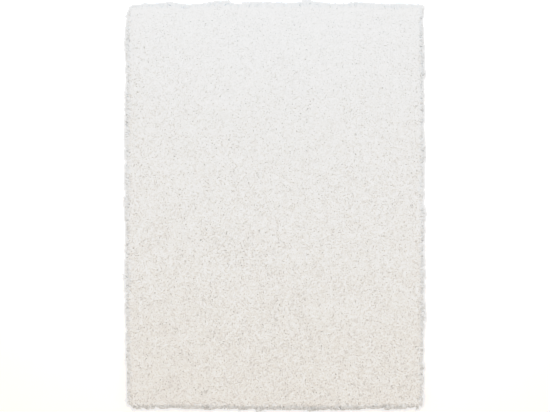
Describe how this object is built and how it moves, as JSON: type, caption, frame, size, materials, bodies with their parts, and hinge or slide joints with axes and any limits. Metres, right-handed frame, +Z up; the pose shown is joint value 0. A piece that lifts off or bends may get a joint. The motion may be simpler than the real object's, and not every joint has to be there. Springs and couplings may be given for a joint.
{
  "type": "shag rug",
  "caption": "Flat rectangular shag rug: long, dense ivory-white yarn pile on a ground cloth, softly lumpy on top and shaggy at its rim.",
  "frame": {"origin": "middle of the underside, on the surface that the rug lies on", "axes": "+Z up, out of the pile; +Y along the rug's length; +X across its width"},
  "size_m": [1.6591, 2.2623, 0.0408],
  "materials": {
    "pile_yarn": "matte heat-set yarn",
    "ground_cloth": "plain woven"
  },
  "bodies": {
    "root": {"shag_rug": "pile_yarn"}
  },
  "joints": []
}
